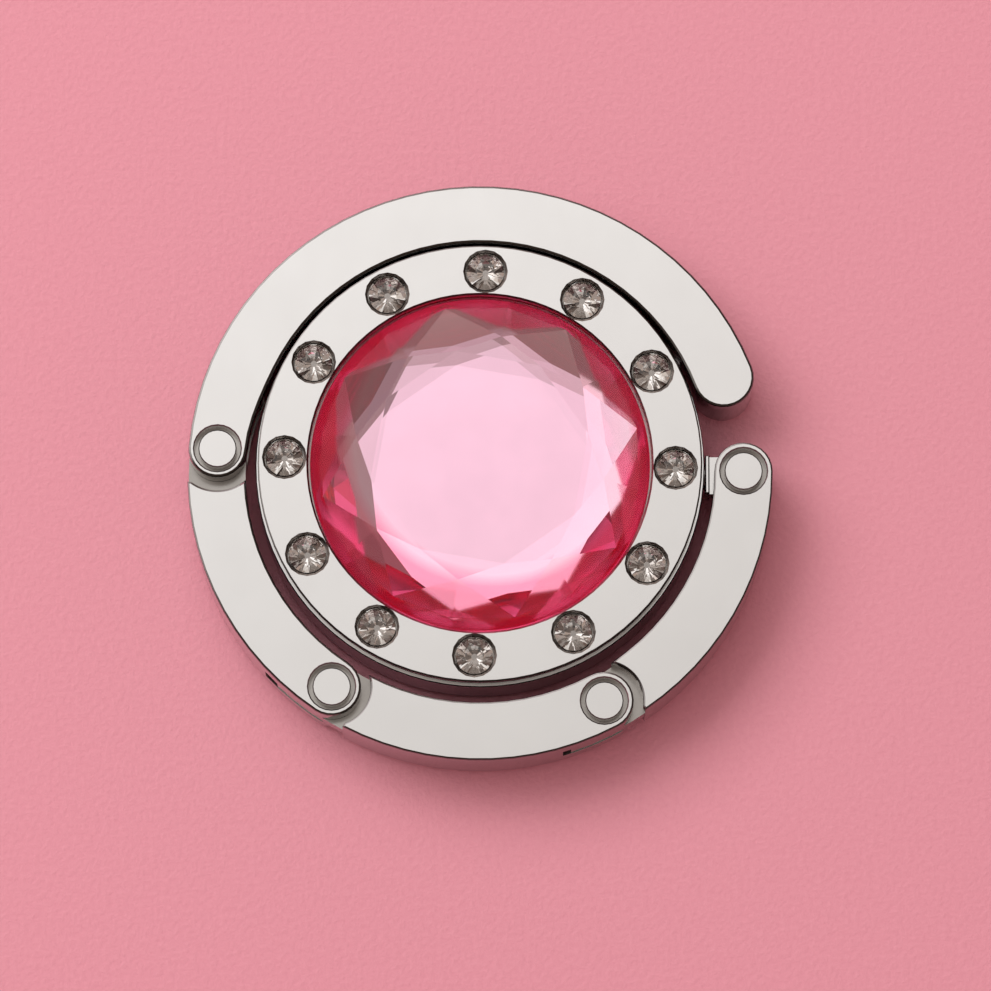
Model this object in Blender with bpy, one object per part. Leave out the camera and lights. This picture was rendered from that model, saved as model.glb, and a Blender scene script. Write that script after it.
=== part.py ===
# Folding purse hook.
# A round jewelled body rests on a table top. A ring of four curved links folds around it,
# turns on a swivel at the body's edge and opens into a hook for a bag's strap.
# Units are metres, +Z up. The origin is the centre of the rubber pad's underside, +X points
# from the body to the swivel, and the jewelled face looks along +Z.

import bpy
import bmesh
import math
from mathutils import Matrix, Vector

MM = 0.001

# Ring of links, folded
LINK_WIDTH = 4.5 * MM
LINK_THICKNESS = 5.6 * MM
LINK_BEVEL = 0.2 * MM
PIN_ANGLES = (0.0, -62.0, -124.0, -185.0)
TIP_ANGLE = -338.5
OPENING_ANGLES = (50.0, 15.0, 25.0, 100.0)

# Knuckle joint between two links
SLOT_HEIGHT = 1.9 * MM
SLOT_GAP = 0.1 * MM
JOINT_GAP = 0.75 * MM
HORN_LAND = 0.5 * MM
HORN_GAP = 0.1 * MM
TONGUE_REACH = 3.85 * MM
TONGUE_ROOT = 1.2 * MM
TONGUE_INSET = 0.06 * MM
TONGUE_END_GAP = 0.15 * MM
STOP_GAP = 0.05 * MM

# Rivet pins, with a groove around each head
EAR_RIM = 0.45 * MM
PIN_GROOVE = 0.33 * MM
HEAD_LIP = 0.45 * MM
HEAD_SEAT = 0.75 * MM
HEAD_SINK = 0.03 * MM
HEAD_CHAMFER = 0.08 * MM
GROOVE_CHAMFER = 0.1 * MM
PIN_FIT = 0.05 * MM
PIN_RUN = 0.08 * MM

# Body and how the folded ring lies around it
BODY_GAP = 0.74 * MM
RING_OFFSET_SHARE = 0.754
FREE_WALL_GAP = 0.24 * MM
FREE_WALL_SHIFT = 0.08 * MM
FREE_WALL_EASE = 22.0
TIP_EASE = 60.0
TIP_WALL_SHARE = 0.7
PAD_PROUD = 0.8 * MM
RIM_DROP = 0.2 * MM
FACE_RISE = 0.5 * MM
FACE_LAND = 0.2 * MM
SHOULDER_WIDTH = 0.12 * MM
STEP_WIDTH = 0.2 * MM
STEP_DROP = 1.35 * MM
STEP_BEVEL = 0.08 * MM
FOOT_BEVEL = 0.25 * MM
FLOOR_WALL = 0.7 * MM
SIDE_WALL = 1.85 * MM
LEDGE_WIDTH = 0.7 * MM

# Cut of the stones
CUT_FOLD_COUNT = 8
TABLE_SHARE = 0.65
STAR_SHARE = 0.78

# Centre gem, its foil and its seat
GEM_RADIUS = 13.1 * MM
GEM_GIRDLE = 1.6 * MM
GEM_CROWN = 2.4 * MM
GEM_SINK = 0.25 * MM
GEM_FIRST_POINT = 12.5
SEAT_GAP = 0.12 * MM
SEAT_CHAMFER = 0.15 * MM
SEAT_LAYER = 0.05 * MM
FOIL_THICKNESS = 0.12 * MM

# Small stones around the gem
STONE_COUNT = 12
STONE_FIRST_ANGLE = 88.4
STONE_RADIUS = 1.45 * MM
STONE_CROWN = 0.45 * MM
STONE_GIRDLE = 0.12 * MM
STONE_PAVILION = 0.95 * MM
STONE_SINK = 0.15 * MM
STONE_FLOOR_GAP = 0.06 * MM
BORE_GAP = 0.1 * MM
BORE_CHAMFER = 0.18 * MM
BORE_LAND = 0.11 * MM

# Underside
PLATE_THICKNESS = 0.8 * MM
PLATE_RECESS = 0.3 * MM
PLATE_FIT = 0.08 * MM
PLATE_BEVEL = 0.12 * MM
PAD_RADIUS = 13.0 * MM
PAD_BEVEL = 0.3 * MM
PAD_FIT = 0.06 * MM

# Swivel
JOURNAL_RADIUS = 1.0 * MM
JOURNAL_RUN = 0.08 * MM
COLLAR_GAP = 0.1 * MM
COLLAR_LENGTH = 0.3 * MM
COLLAR_HEIGHT = 2.9 * MM
EYE_WIDTH = 2.9 * MM
EYE_WEB = 0.4 * MM
EYE_GAP = 0.1 * MM
EYE_BEVEL = 0.1 * MM
SEAT_WALL = 0.45 * MM
JOURNAL_END_GAP = 0.3 * MM
CLIP_THICKNESS = 0.35 * MM
CLIP_WIDTH = 0.7 * MM
CLIP_RUN = 0.1 * MM
CLIP_GROOVE = 0.3 * MM
CLIP_FIT = 0.04 * MM
CLIP_MOUTH_ANGLE = 70.0
POCKET_GAP = 0.15 * MM

# Closing magnets
MAGNET_ANGLE = 33.0
MAGNET_RADIUS = 1.25 * MM
MAGNET_LENGTH = 1.2 * MM
MAGNET_FIT = 0.05 * MM
MAGNET_SINK = 0.1 * MM

# Meshing
OVERRUN = 1.0 * MM
WALL_ANGLE_STEP = 4.5
CAP_SEGMENTS = 14
BODY_SEGMENTS = 80
BORE_SEGMENTS = 16
PIN_SEGMENTS = 24
UNDERSIDE_SEGMENTS = 64
GEM_ARC_COUNT = 8
STONE_ARC_COUNT = 2
BEVEL_SEGMENTS = 2
BEVEL_ROUND_SHARE = 0.5
SHOULDER_SEGMENTS = 2
SMOOTH_ANGLE = 32.0

# Sizes that follow from the ones above
SEAT_RADIUS = GEM_RADIUS + SEAT_GAP
BORE_RADIUS = STONE_RADIUS + BORE_GAP
STONE_CIRCLE = SEAT_RADIUS + BORE_LAND + BORE_CHAMFER + BORE_RADIUS
FACE_RADIUS = STONE_CIRCLE + BORE_RADIUS + BORE_CHAMFER + FACE_LAND
BODY_RADIUS = FACE_RADIUS + SHOULDER_WIDTH + STEP_WIDTH

HALF_WIDTH = LINK_WIDTH / 2
HALF_THICKNESS = LINK_THICKNESS / 2
RING_INNER = BODY_RADIUS + BODY_GAP
RING_OUTER = RING_INNER + LINK_WIDTH
PIN_CIRCLE_RADIUS = RING_INNER + HALF_WIDTH
RING_OFFSET = RING_OFFSET_SHARE * BODY_GAP
AXIS_HEIGHT = PAD_PROUD - RIM_DROP + HALF_THICKNESS
BODY_BOTTOM = PAD_PROUD
FACE_HEIGHT = AXIS_HEIGHT + HALF_THICKNESS + FACE_RISE

HALF_SLOT = SLOT_HEIGHT / 2
HALF_TONGUE = HALF_SLOT - SLOT_GAP
GROOVE_RADIUS = HALF_WIDTH - EAR_RIM
HEAD_RADIUS = GROOVE_RADIUS - PIN_GROOVE
SHAFT_RADIUS = HEAD_RADIUS - HEAD_LIP

GIRDLE_TOP = FACE_HEIGHT - GEM_SINK
GEM_BOTTOM = GIRDLE_TOP - GEM_GIRDLE
FOIL_TOP = GEM_BOTTOM - SEAT_LAYER
FOIL_BOTTOM = FOIL_TOP - FOIL_THICKNESS
SEAT_FLOOR = FOIL_BOTTOM - SEAT_LAYER
CAVITY_CEILING = SEAT_FLOOR - FLOOR_WALL
CAVITY_RADIUS = BODY_RADIUS - SIDE_WALL

STONE_GIRDLE_TOP = FACE_HEIGHT - STONE_SINK
STONE_BOTTOM = STONE_GIRDLE_TOP - STONE_GIRDLE - STONE_PAVILION
BORE_FLOOR = STONE_BOTTOM - STONE_FLOOR_GAP

LEDGE_RADIUS = CAVITY_RADIUS + LEDGE_WIDTH
PLATE_BOTTOM = BODY_BOTTOM + PLATE_FIT
PLATE_TOP = PLATE_BOTTOM + PLATE_THICKNESS
LEDGE_HEIGHT = PLATE_TOP + PLATE_FIT
PAD_TOP = PLATE_BOTTOM + PLATE_RECESS - PAD_FIT

COLLAR_START = BODY_RADIUS + COLLAR_GAP
COLLAR_END = COLLAR_START + COLLAR_LENGTH
EYE_TIP_RADIUS = HALF_WIDTH - EYE_WEB - EYE_GAP
CLIP_OUTER = JOURNAL_RADIUS - CLIP_GROOVE + CLIP_WIDTH
POCKET_START = SEAT_RADIUS + SEAT_WALL
POCKET_END = CAVITY_RADIUS - POCKET_GAP
JOURNAL_START = POCKET_START + JOURNAL_END_GAP
CLIP_END = POCKET_END - CLIP_RUN
CLIP_START = CLIP_END - CLIP_THICKNESS

RING_CENTRE = Vector((0.0, -RING_OFFSET, AXIS_HEIGHT))
FINISHES = {
    "nickel": ((0.80, 0.79, 0.77), 0.12, 1.0),
    "dark_steel": ((0.42, 0.42, 0.43), 0.30, 1.0),
    "magnet_plate": ((0.62, 0.62, 0.64), 0.22, 1.0),
    "pink_crystal": ((0.93, 0.30, 0.50), 0.03, 0.0),
    "silver_foil": ((0.95, 0.82, 0.86), 0.15, 1.0),
    "clear_crystal": ((0.88, 0.88, 0.90), 0.04, 0.0),
    "black_rubber": ((0.03, 0.03, 0.03), 0.75, 0.0),
}


def clear_scene():
    for item in list(bpy.data.objects):
        bpy.data.objects.remove(item, do_unlink=True)


def finish(name):
    colour, roughness, metallic = FINISHES[name]
    material = bpy.data.materials.get(name)
    if material is None:
        material = bpy.data.materials.new(name)
        material.use_nodes = True
        shader = material.node_tree.nodes["Principled BSDF"]
        shader.inputs["Base Color"].default_value = (*colour, 1.0)
        shader.inputs["Roughness"].default_value = roughness
        shader.inputs["Metallic"].default_value = metallic
        material.diffuse_color = (*colour, 1.0)
    return material


def pivot(name, place, parent=None):
    # An empty on a joint's axis, placed in its parent's frame.
    empty = bpy.data.objects.new(name, None)
    empty.empty_display_size = LINK_WIDTH
    empty.location = place
    empty.parent = parent
    bpy.context.scene.collection.objects.link(empty)
    return empty


def piece(name, shape, finish_name, parent, smooth=True):
    # One solid sub-part from a bmesh that is written in its parent's frame.
    bmesh.ops.recalc_face_normals(shape, faces=shape.faces)
    mesh = bpy.data.meshes.new(name)
    shape.to_mesh(mesh)
    shape.free()
    if smooth:
        mesh.shade_smooth()
        mesh.set_sharp_from_angle(angle=math.radians(SMOOTH_ANGLE))
    mesh.materials.append(finish(finish_name))
    item = bpy.data.objects.new(name, mesh)
    item.parent = parent
    bpy.context.scene.collection.objects.link(item)
    return item


def tool(name, shape, parent):
    # A guide body for a Boolean, which is not part of the product.
    item = piece(name, shape, "nickel", parent, smooth=False)
    item.hide_render = True
    item.display_type = "WIRE"
    return item


def combine(target, other, operation):
    modifier = target.modifiers.new(other.name, "BOOLEAN")
    modifier.operation = operation
    modifier.solver = "EXACT"
    modifier.object = other


def even_shading(item):
    # Keeps large flat faces flat-looking beside narrow rounded edges.
    modifier = item.modifiers.new("even_shading", "WEIGHTED_NORMAL")
    modifier.keep_sharp = True
    modifier.weight = 100


def polar(radius, angle, centre=Vector((0.0, 0.0))):
    turn = math.radians(angle)
    return centre + Vector((radius * math.cos(turn), radius * math.sin(turn)))


def arc(radius, start, end, steps, centre=Vector((0.0, 0.0))):
    return [polar(radius, start + (end - start) * i / steps, centre) for i in range(steps + 1)]


def wall_arc(radius, start, end):
    # A stretch of the ring's wall, with a point about every WALL_ANGLE_STEP degrees.
    steps = max(1, math.ceil(abs(end - start) / WALL_ANGLE_STEP))
    return arc(radius, start, end, steps)


def prism(outline, low, high):
    shape = bmesh.new()
    bottom = [shape.verts.new((point.x, point.y, low)) for point in outline]
    face = shape.faces.new(bottom)
    grown = bmesh.ops.extrude_face_region(shape, geom=[face])
    lifted = [item for item in grown["geom"] if isinstance(item, bmesh.types.BMVert)]
    bmesh.ops.translate(shape, verts=lifted, vec=(0.0, 0.0, high - low))
    return shape


def bevel_rims(shape, heights, width):
    # Rounds the edges that lie flat at the given heights.
    def is_rim(edge):
        for height in heights:
            if all(abs(vert.co.z - height) < width * 0.01 for vert in edge.verts):
                return True
        return False

    rims = [edge for edge in shape.edges if is_rim(edge)]
    bmesh.ops.bevel(shape, geom=rims, offset=width, segments=BEVEL_SEGMENTS, profile=BEVEL_ROUND_SHARE,
                    affect="EDGES", clamp_overlap=True)


def lathe(profile, steps):
    # Turns (radius, height) points around Z. A first or last radius of zero closes on the axis.
    shape = bmesh.new()
    rings = []
    for radius, height in profile:
        if radius == 0.0:
            rings.append([shape.verts.new((0.0, 0.0, height))])
        else:
            places = arc(radius, 0.0, 360.0, steps)[:-1]
            rings.append([shape.verts.new((place.x, place.y, height)) for place in places])
    pairs = list(zip(rings, rings[1:]))
    if len(rings[0]) > 1:
        pairs.append((rings[-1], rings[0]))
    for lower, upper in pairs:
        for i in range(steps):
            j = (i + 1) % steps
            corners = [lower[i % len(lower)], lower[j % len(lower)],
                       upper[j % len(upper)], upper[i % len(upper)]]
            shape.faces.new(list(dict.fromkeys(corners)))
    return shape


def block(low, high):
    outline = [Vector((low[0], low[1])), Vector((high[0], low[1])),
               Vector((high[0], high[1])), Vector((low[0], high[1]))]
    return prism(outline, low[2], high[2])


def along_x(shape):
    # Turns a body made along Z so that it lies along +X.
    bmesh.ops.rotate(shape, verts=shape.verts, matrix=Matrix.Rotation(math.pi / 2, 3, "Y"))
    return shape


def moved(shape, offset):
    bmesh.ops.translate(shape, verts=shape.verts, vec=offset)
    return shape


def pin_place(index):
    return polar(PIN_CIRCLE_RADIUS, PIN_ANGLES[index])


def joint_point(index, along, outward):
    # A point beside a pin: along the chain towards the free tip, and outward from the ring.
    angle = PIN_ANGLES[index]
    return pin_place(index) + polar(outward, angle) + polar(along, angle - 90.0)


def recess_sizes(index):
    # Radius of the concave end that faces a pin, and how far its outer horn stays behind it.
    # The horn leaves room for the next link's outer wall at the joint's widest opening.
    swing = math.radians(OPENING_ANGLES[index])
    needed = (HALF_WIDTH * (1 - math.cos(swing)) + HORN_GAP) / math.sin(swing)
    horn_reach = HALF_WIDTH - HORN_LAND
    radius = max(HALF_WIDTH + JOINT_GAP, math.hypot(needed, horn_reach))
    return radius, math.sqrt(radius ** 2 - horn_reach ** 2)


def crossing_angle(radius, reach):
    # Ring angle between a pin and the point of a wall circle that lies at a reach from the pin.
    cosine = (radius ** 2 + PIN_CIRCLE_RADIUS ** 2 - reach ** 2) / (2 * radius * PIN_CIRCLE_RADIUS)
    return math.degrees(math.acos(cosine))


def recess_points(index):
    # The concave end of a link, from its inner horn to its blunt outer horn.
    centre = pin_place(index)
    radius, setback = recess_sizes(index)
    inner = polar(RING_INNER, PIN_ANGLES[index] + crossing_angle(RING_INNER, radius)) - centre
    outer = joint_point(index, -setback, HALF_WIDTH - HORN_LAND) - centre
    start = math.degrees(math.atan2(inner.y, inner.x))
    end = math.degrees(math.atan2(outer.y, outer.x))
    sweep = (end - start) % 360.0 - 360.0
    return arc(radius, start, start + sweep, CAP_SEGMENTS, centre)


def eased(share):
    share = min(max(share, 0.0), 1.0)
    return share * share * (3.0 - 2.0 * share)


def free_wall_radius(angle):
    # Inner wall of the free link: it leaves the ring's inner circle at the pin, follows the
    # round body at a small gap, and draws back a little towards the tip.
    turn = math.radians(angle)
    wall = BODY_RADIUS + FREE_WALL_GAP
    rise = RING_OFFSET - FREE_WALL_SHIFT
    nearest = rise * math.sin(turn) + math.sqrt(wall ** 2 - (rise * math.cos(turn)) ** 2)
    from_pin = eased(abs(angle - PIN_ANGLES[-1]) / FREE_WALL_EASE)
    from_tip = eased(abs(angle - TIP_ANGLE) / TIP_EASE)
    share = from_pin * (TIP_WALL_SHARE + (1.0 - TIP_WALL_SHARE) * from_tip)
    return RING_INNER + (nearest - RING_INNER) * share


def free_wall(start, end):
    steps = math.ceil(abs(end - start) / WALL_ANGLE_STEP)
    angles = [start + (end - start) * i / steps for i in range(steps + 1)]
    return [polar(free_wall_radius(angle), angle) for angle in angles]


def link_outline(index):
    start = PIN_ANGLES[index]
    outline = arc(HALF_WIDTH, start, start + 180.0, CAP_SEGMENTS, pin_place(index))
    if index + 1 < len(PIN_ANGLES):
        following = index + 1
        radius, setback = recess_sizes(following)
        end = PIN_ANGLES[following]
        inner_end = end + crossing_angle(RING_INNER, radius)
        horn_outward = math.sqrt(RING_OUTER ** 2 - setback ** 2)
        outer_end = end + math.degrees(math.atan2(setback, horn_outward))
        outline += wall_arc(RING_INNER, start, inner_end)[1:]
        outline += recess_points(following)[1:]
        outline += wall_arc(RING_OUTER, outer_end, start)[:-1]
    else:
        outline += free_wall(start, TIP_ANGLE)[1:]
        tip_inner = free_wall_radius(TIP_ANGLE)
        tip = polar((tip_inner + RING_OUTER) / 2, TIP_ANGLE)
        tip_radius = (RING_OUTER - tip_inner) / 2
        outline += arc(tip_radius, TIP_ANGLE + 180.0, TIP_ANGLE + 360.0, CAP_SEGMENTS, tip)[1:]
        outline += wall_arc(RING_OUTER, TIP_ANGLE, start)[1:-1]
    return outline


def tongue_outline(index):
    # Middle layer that reaches from a link past the next pin, ending in a flat face.
    angle = PIN_ANGLES[index]
    radius = recess_sizes(index)[0]
    root = angle + math.degrees((radius + TONGUE_ROOT) / PIN_CIRCLE_RADIUS)
    inner = RING_INNER + TONGUE_INSET
    outer = RING_OUTER - TONGUE_INSET
    inner_tip = angle - math.degrees(math.asin(TONGUE_REACH / inner))
    outer_tip = angle - math.degrees(math.asin(TONGUE_REACH / outer))
    return wall_arc(inner, root, inner_tip) + wall_arc(outer, outer_tip, root)


def slot_outline(index):
    # The gap between two ears. Its end wall is slanted so that the tongue's flat end meets it
    # face to face at the joint's widest opening; a wider opening needs a deeper, square end.
    side = HALF_WIDTH + OVERRUN
    swing = math.radians(OPENING_ANGLES[index])
    corner_angle = math.atan2(HALF_WIDTH, TONGUE_REACH)
    if swing >= corner_angle:
        depth = math.hypot(TONGUE_REACH, HALF_WIDTH) + TONGUE_END_GAP
        points = [(-side, -side), (depth, -side), (depth, side), (-side, side)]
    else:
        depth = TONGUE_REACH + TONGUE_END_GAP
        stop = TONGUE_REACH + STOP_GAP
        knee = (depth * math.cos(swing) - stop) / math.sin(swing)
        knee = max(knee, -side)
        far = (stop + side * math.sin(swing)) / math.cos(swing)
        points = [(-side, -side), (depth, -side), (depth, knee), (far, side), (-side, side)]
    return [joint_point(index, along, outward) for along, outward in points]


def swivel_slot_outline():
    # The first link's slot is open only where the swivel's eye enters it. Its two straight
    # sides stop the link when it is folded and when it is fully open.
    centre = pin_place(0)
    folded = PIN_ANGLES[0] + 180.0
    opened = folded - OPENING_ANGLES[0]
    half = EYE_WIDTH / 2 + EYE_GAP
    pocket = max(EYE_TIP_RADIUS, EYE_WIDTH / 2) + EYE_GAP
    reach = math.sqrt(max(pocket ** 2 - half ** 2, 0.0))
    far = LINK_WIDTH + OVERRUN
    lean = math.degrees(math.atan2(reach, half))
    start = opened - 90.0 + lean
    end = folded + 90.0 - lean - 360.0
    outline = arc(pocket, start, end, CAP_SEGMENTS, centre)
    outline.append(polar(far, folded, outline[-1]))
    outline.append(polar(far + half, (folded + opened) / 2, centre))
    outline.append(polar(far, opened, outline[0]))
    return outline


def pin_bore_shape(centre):
    # Shaft bore through both ears, with a counterbore and its chamfer at each face.
    floor = HALF_SLOT + HEAD_SEAT
    bore = SHAFT_RADIUS + PIN_FIT
    chamfer_height = HALF_THICKNESS - GROOVE_CHAMFER
    half = [(GROOVE_RADIUS + GROOVE_CHAMFER + OVERRUN, HALF_THICKNESS + OVERRUN),
            (GROOVE_RADIUS, chamfer_height), (GROOVE_RADIUS, floor), (bore, floor)]
    mirrored = [(radius, -height) for radius, height in reversed(half)]
    ends = [(0.0, HALF_THICKNESS + OVERRUN)], [(0.0, -HALF_THICKNESS - OVERRUN)]
    shape = lathe(ends[0] + half + mirrored + ends[1], PIN_SEGMENTS)
    return moved(shape, (centre.x, centre.y, 0.0))


def post_shape(radius, low, high, steps):
    return lathe([(0.0, low), (radius, low), (radius, high), (0.0, high)], steps)


def make_link(index, hinge):
    name = "link_%d" % (index + 1)
    home = pin_place(index)
    back = (-home.x, -home.y, 0.0)

    shape = prism(link_outline(index), -HALF_THICKNESS, HALF_THICKNESS)
    bevel_rims(shape, (-HALF_THICKNESS, HALF_THICKNESS), LINK_BEVEL)
    link = piece(name, moved(shape, back), "nickel", hinge)

    if index + 1 < len(PIN_ANGLES):
        following = pin_place(index + 1)
        tongue = prism(tongue_outline(index + 1), -HALF_TONGUE, HALF_TONGUE)
        combine(link, tool(name + "_tongue", moved(tongue, back), hinge), "UNION")
        bore = post_shape(SHAFT_RADIUS + PIN_RUN, -HALF_SLOT, HALF_SLOT, PIN_SEGMENTS)
        bore = moved(bore, (following.x - home.x, following.y - home.y, 0.0))
        combine(link, tool(name + "_tongue_bore", bore, hinge), "DIFFERENCE")

    outline = swivel_slot_outline() if index == 0 else slot_outline(index)
    slot = moved(prism(outline, -HALF_SLOT, HALF_SLOT), back)
    combine(link, tool(name + "_slot", slot, hinge), "DIFFERENCE")
    combine(link, tool(name + "_bore", pin_bore_shape(Vector((0.0, 0.0))), hinge), "DIFFERENCE")
    if index + 1 == len(PIN_ANGLES):
        make_tip_magnet(link, hinge)
    even_shading(link)


def make_pin(index, hinge):
    # A rivet with a flush head in each ear.
    floor = HALF_SLOT + HEAD_SEAT + PIN_FIT
    top = HALF_THICKNESS - HEAD_SINK
    half = [(0.0, top), (HEAD_RADIUS - HEAD_CHAMFER, top), (HEAD_RADIUS, top - HEAD_CHAMFER),
            (HEAD_RADIUS, floor), (SHAFT_RADIUS, floor)]
    mirrored = [(radius, -height) for radius, height in reversed(half)]
    piece("pin_%d" % (index + 1), lathe(half + mirrored, PIN_SEGMENTS), "nickel", hinge)


def magnet_line(start, length, radius, origin):
    # A round body that lies on the line from the ring's centre through both magnets.
    shape = along_x(post_shape(radius, start, start + length, BORE_SEGMENTS))
    turn = Matrix.Rotation(math.radians(MAGNET_ANGLE), 3, "Z")
    bmesh.ops.rotate(shape, verts=shape.verts, matrix=turn)
    return moved(shape, (-origin.x, -origin.y, -origin.z))


def magnet_bore_depth():
    return MAGNET_SINK + MAGNET_LENGTH + MAGNET_FIT


def make_tip_magnet(link, hinge):
    # Sits in the free link's inner wall and faces the one in the body.
    home = pin_place(len(PIN_ANGLES) - 1).to_3d()
    wall = free_wall_radius(MAGNET_ANGLE - 360.0)
    bore = magnet_line(wall - OVERRUN, magnet_bore_depth() + OVERRUN,
                       MAGNET_RADIUS + MAGNET_FIT, home)
    combine(link, tool("tip_magnet_bore", bore, hinge), "DIFFERENCE")
    shape = magnet_line(wall + MAGNET_SINK, MAGNET_LENGTH, MAGNET_RADIUS, home)
    piece("tip_magnet", shape, "magnet_plate", hinge)


def make_body_magnet(housing):
    # The body's edge lies nearer or farther along the magnets' line than its own radius.
    turn = math.radians(MAGNET_ANGLE)
    offset = RING_OFFSET * math.sin(turn)
    edge = offset + math.sqrt(BODY_RADIUS ** 2 - (RING_OFFSET * math.cos(turn)) ** 2)
    deep = edge - magnet_bore_depth()
    home = -RING_CENTRE
    bore = magnet_line(deep, magnet_bore_depth() + OVERRUN, MAGNET_RADIUS + MAGNET_FIT, home)
    combine(housing, tool("body_magnet_bore", bore, None), "DIFFERENCE")
    shape = magnet_line(deep + MAGNET_FIT, MAGNET_LENGTH, MAGNET_RADIUS, home)
    piece("body_magnet", shape, "magnet_plate", None)


def shoulder_points():
    # From the side wall's top edge over a narrow step to the rounded rim of the raised face.
    step = FACE_HEIGHT - STEP_DROP
    points = [(BODY_RADIUS, step - STEP_BEVEL), (BODY_RADIUS - STEP_BEVEL, step),
              (FACE_RADIUS + SHOULDER_WIDTH, step)]
    for i in range(SHOULDER_SEGMENTS + 1):
        turn = math.pi / 2 * i / SHOULDER_SEGMENTS
        points.append((FACE_RADIUS + SHOULDER_WIDTH * math.cos(turn),
                       FACE_HEIGHT - SHOULDER_WIDTH + SHOULDER_WIDTH * math.sin(turn)))
    return points


def stone_angles():
    return [STONE_FIRST_ANGLE + 360.0 * i / STONE_COUNT for i in range(STONE_COUNT)]


def stone_bores():
    # One body per setting: a flat-bottomed bore with a chamfered mouth.
    joined = bpy.data.meshes.new("stone_bores")
    gathered = bmesh.new()
    mouth = BORE_RADIUS + BORE_CHAMFER
    profile = [(0.0, BORE_FLOOR), (BORE_RADIUS, BORE_FLOOR),
               (BORE_RADIUS, FACE_HEIGHT - BORE_CHAMFER), (mouth, FACE_HEIGHT),
               (mouth, FACE_HEIGHT + OVERRUN), (0.0, FACE_HEIGHT + OVERRUN)]
    for angle in stone_angles():
        place = polar(STONE_CIRCLE, angle)
        bore = moved(lathe(profile, BORE_SEGMENTS), (place.x, place.y, 0.0))
        bore.to_mesh(joined)
        bore.free()
        gathered.from_mesh(joined)
    bpy.data.meshes.remove(joined)
    return gathered


def make_housing():
    profile = shoulder_points()
    profile += [(SEAT_RADIUS + SEAT_CHAMFER, FACE_HEIGHT), (SEAT_RADIUS, FACE_HEIGHT - SEAT_CHAMFER),
                (SEAT_RADIUS, SEAT_FLOOR), (0.0, SEAT_FLOOR)]
    under = [(0.0, CAVITY_CEILING), (CAVITY_RADIUS, CAVITY_CEILING), (CAVITY_RADIUS, LEDGE_HEIGHT),
             (LEDGE_RADIUS, LEDGE_HEIGHT), (LEDGE_RADIUS, BODY_BOTTOM),
             (BODY_RADIUS - FOOT_BEVEL, BODY_BOTTOM), (BODY_RADIUS, BODY_BOTTOM + FOOT_BEVEL)]
    shape = lathe(list(reversed(profile)) + list(reversed(under)), BODY_SEGMENTS)
    housing = piece("housing", shape, "nickel", None)

    combine(housing, tool("stone_bores", stone_bores(), None), "DIFFERENCE")

    half_width = CLIP_OUTER + CLIP_RUN
    pocket = block((POCKET_START, -half_width - RING_OFFSET, AXIS_HEIGHT),
                   (POCKET_END, half_width - RING_OFFSET, AXIS_HEIGHT + half_width))
    combine(housing, tool("clip_pocket", pocket, None), "DIFFERENCE")

    bore = along_x(post_shape(JOURNAL_RADIUS + JOURNAL_RUN, POCKET_START + JOURNAL_END_GAP,
                              BODY_RADIUS + OVERRUN, PIN_SEGMENTS))
    combine(housing, tool("swivel_bore", moved(bore, RING_CENTRE), None), "DIFFERENCE")
    make_body_magnet(housing)
    even_shading(housing)


def make_underside():
    outer = LEDGE_RADIUS - PLATE_FIT
    recess = PAD_RADIUS + PAD_FIT
    recess_top = PLATE_BOTTOM + PLATE_RECESS
    profile = [(0.0, recess_top), (recess, recess_top), (recess, PLATE_BOTTOM),
               (outer - PLATE_BEVEL, PLATE_BOTTOM), (outer, PLATE_BOTTOM + PLATE_BEVEL),
               (outer, PLATE_TOP), (0.0, PLATE_TOP)]
    piece("base_plate", lathe(profile, UNDERSIDE_SEGMENTS), "nickel", None)

    profile = [(0.0, 0.0), (PAD_RADIUS - PAD_BEVEL, 0.0), (PAD_RADIUS, PAD_BEVEL),
               (PAD_RADIUS, PAD_TOP), (0.0, PAD_TOP)]
    piece("rubber_pad", lathe(profile, UNDERSIDE_SEGMENTS), "black_rubber", None)


def cut_stone(radius, crown, girdle, pavilion, arcs):
    # A table, star facets, kites that reach the girdle in points, and the facets between each
    # pair of kites. The girdle's top lies at height zero. With no pavilion the back is flat.
    shape = bmesh.new()
    turn = 360.0 / CUT_FOLD_COUNT
    table_radius = TABLE_SHARE * radius
    star_radius = STAR_SHARE * radius
    star_inset = radius - star_radius * math.cos(math.radians(turn / 2))
    star_height = crown * star_inset / (radius - table_radius)

    def ring(size, height, count, first):
        places = arc(size, first, first + 360.0, count)[:-1]
        return [shape.verts.new((place.x, place.y, height)) for place in places]

    table = ring(table_radius, crown, CUT_FOLD_COUNT, 0.0)
    star = ring(star_radius, star_height, CUT_FOLD_COUNT, turn / 2)
    rim = ring(radius, 0.0, CUT_FOLD_COUNT * arcs, 0.0)
    foot = ring(radius, -girdle, CUT_FOLD_COUNT * arcs, 0.0)

    shape.faces.new(table)
    for i in range(CUT_FOLD_COUNT):
        shape.faces.new((table[i], star[i], table[(i + 1) % CUT_FOLD_COUNT]))
        shape.faces.new((table[i], star[i - 1], rim[i * arcs], star[i]))
        for j in range(i * arcs, (i + 1) * arcs):
            shape.faces.new((star[i], rim[j], rim[(j + 1) % len(rim)]))
    for j in range(len(rim)):
        k = (j + 1) % len(rim)
        shape.faces.new((rim[j], foot[j], foot[k], rim[k]))
    if pavilion > 0.0:
        culet = shape.verts.new((0.0, 0.0, -girdle - pavilion))
        for j in range(len(foot)):
            shape.faces.new((foot[j], culet, foot[(j + 1) % len(foot)]))
    else:
        shape.faces.new(list(reversed(foot)))
    return shape


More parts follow.
